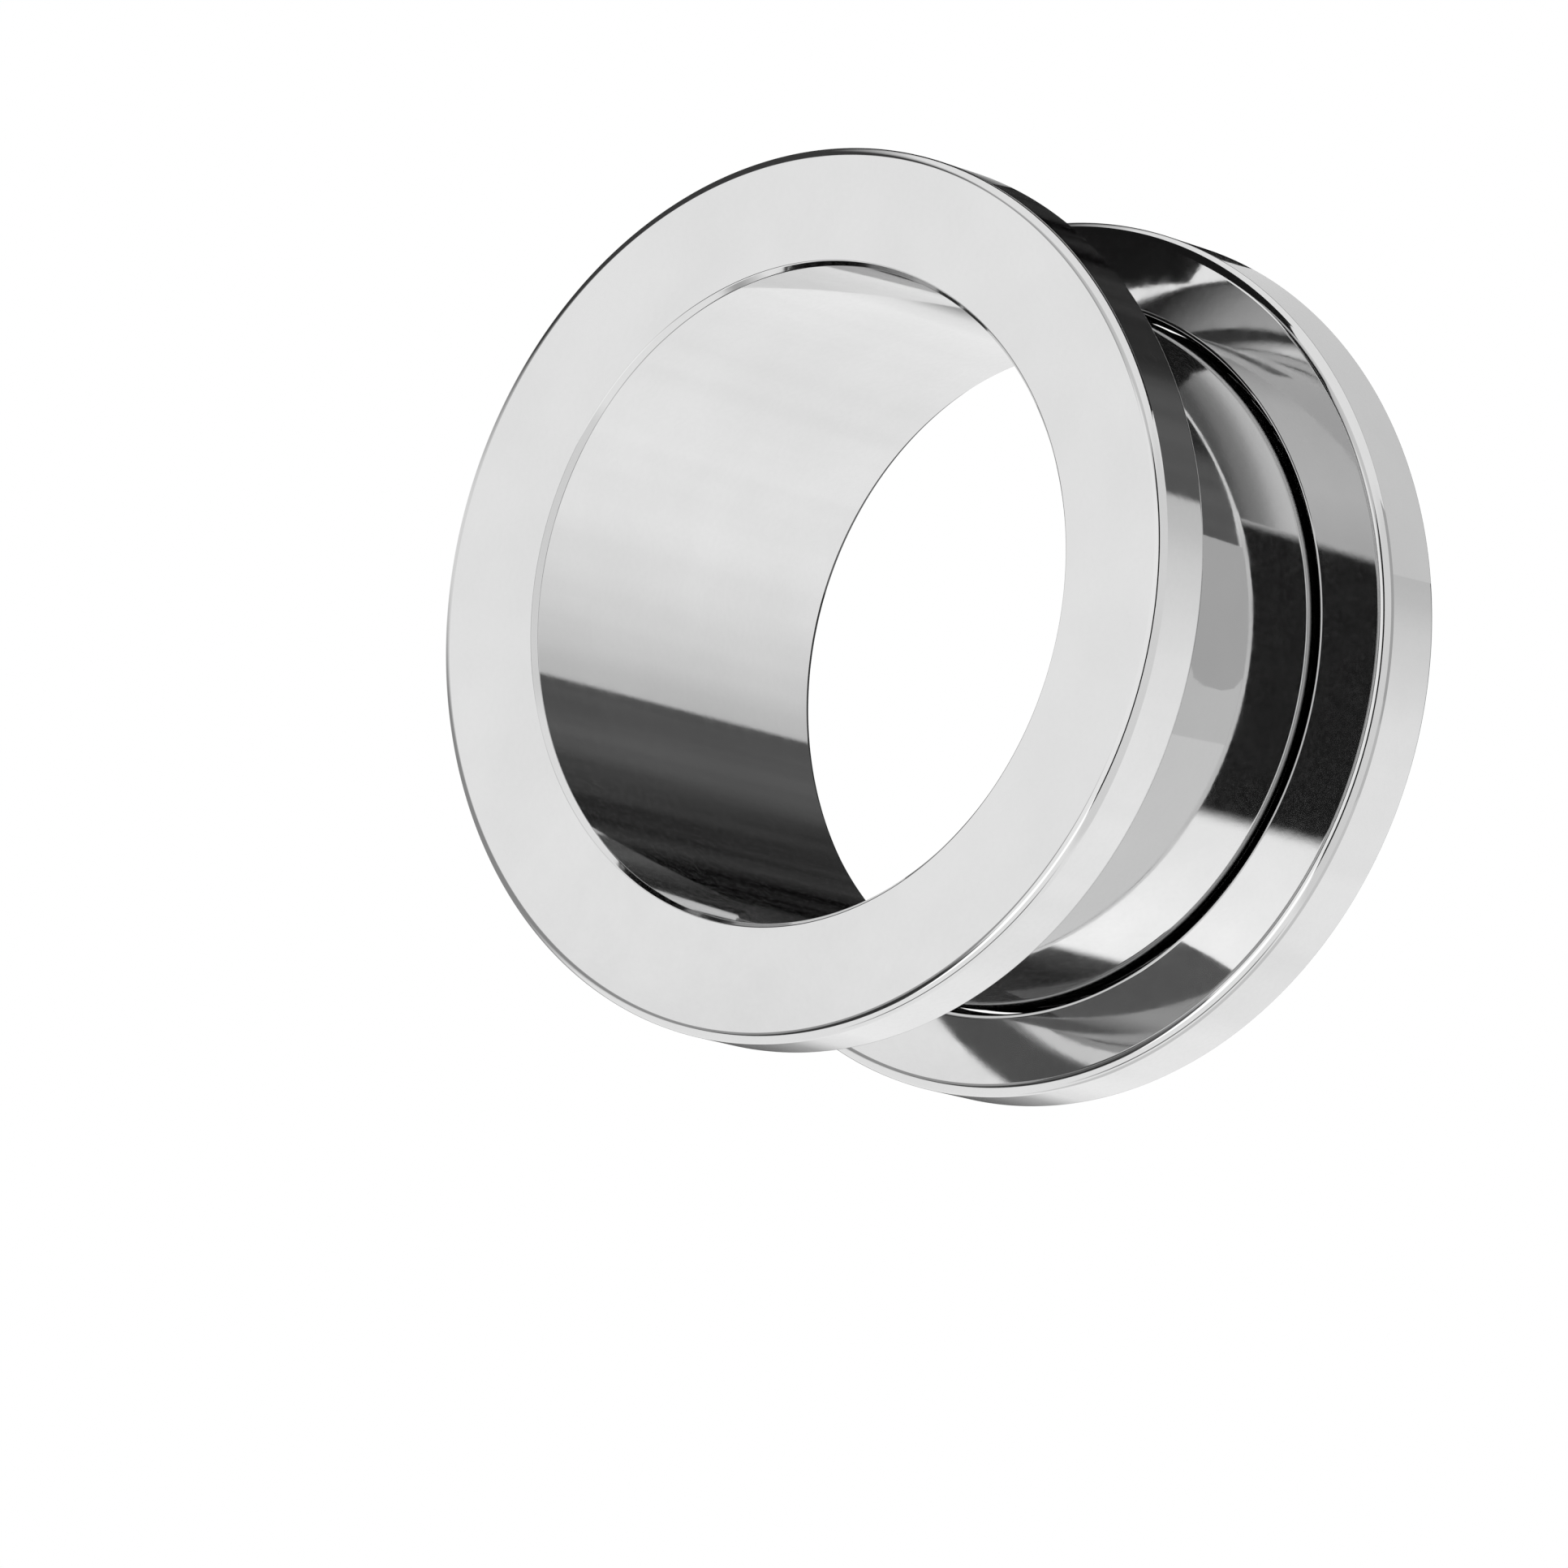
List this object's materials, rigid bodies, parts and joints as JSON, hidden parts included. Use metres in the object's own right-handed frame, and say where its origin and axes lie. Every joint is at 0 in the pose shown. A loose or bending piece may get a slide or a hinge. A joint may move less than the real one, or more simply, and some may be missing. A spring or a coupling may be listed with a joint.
{
  "type": "screw-fit ear tunnel",
  "caption": "Open polished tube with a fixed flange at one end and a screwed ring as the flange at the other; worn through a stretched earlobe.",
  "frame": {"origin": "centre of the screw ring's underside, which rests on the surface", "axes": "+Z along the tunnel's axis, from the screw ring up to the fixed flange's outer face"},
  "size_m": [0.0198, 0.0198, 0.0102],
  "materials": {
    "barrel_steel": "polished",
    "ring_steel": "polished"
  },
  "bodies": {
    "ring": {"screw_ring": "ring_steel"},
    "barrel": {"barrel": "barrel_steel"}
  },
  "joints": [
    {"name": "unscrew_lift", "type": "slide", "parent": "ring", "child": "barrel", "axis": [0, 0, 1], "range_m": [0, 0.008]}
  ]
}
